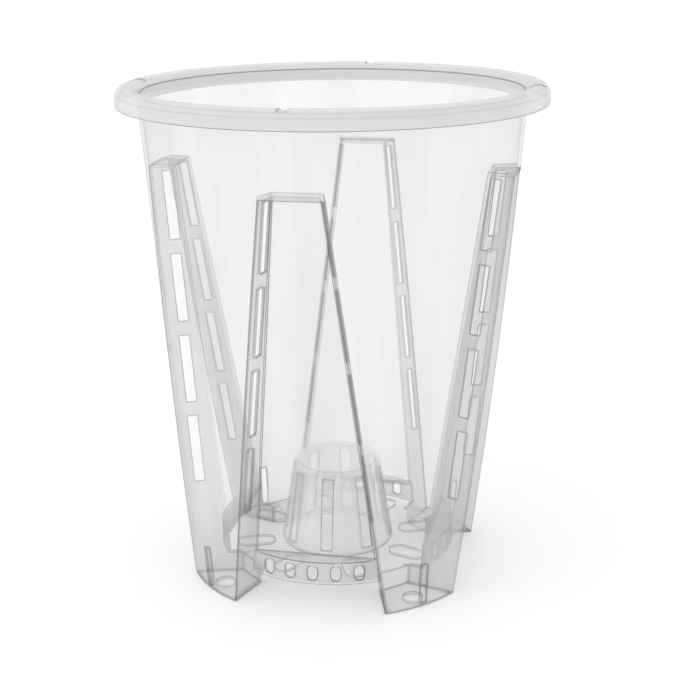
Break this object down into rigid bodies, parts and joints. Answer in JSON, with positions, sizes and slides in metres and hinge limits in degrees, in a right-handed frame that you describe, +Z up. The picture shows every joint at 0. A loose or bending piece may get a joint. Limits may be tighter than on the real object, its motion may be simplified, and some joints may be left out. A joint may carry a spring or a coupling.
{
  "type": "orchid pot",
  "caption": "Clear tapered orchid pot with a rolled rim, flared air channels with slotted sides, hollow drained feet, a raised floor and a slotted vent cone.",
  "frame": {"origin": "on the pot's axis, in the plane that its feet stand on", "axes": "+Z up along the pot's axis, -Y out through the front air channel, +X to the right of it"},
  "size_m": [0.155, 0.155, 0.183],
  "materials": {
    "clear_polypropylene": "gloss"
  },
  "bodies": {
    "root": {"rim": "clear_polypropylene", "tapered_wall": "clear_polypropylene", "floor_plate": "clear_polypropylene", "vent_cone": "clear_polypropylene", "air_channel_right": "clear_polypropylene", "air_channel_back": "clear_polypropylene", "air_channel_left": "clear_polypropylene", "air_channel_front": "clear_polypropylene", "drain_band_right": "clear_polypropylene", "drain_band_back": "clear_polypropylene", "drain_band_left": "clear_polypropylene", "drain_band_front": "clear_polypropylene", "foot_back_right": "clear_polypropylene", "foot_back_left": "clear_polypropylene", "foot_front_left": "clear_polypropylene", "foot_front_right": "clear_polypropylene"}
  },
  "joints": []
}
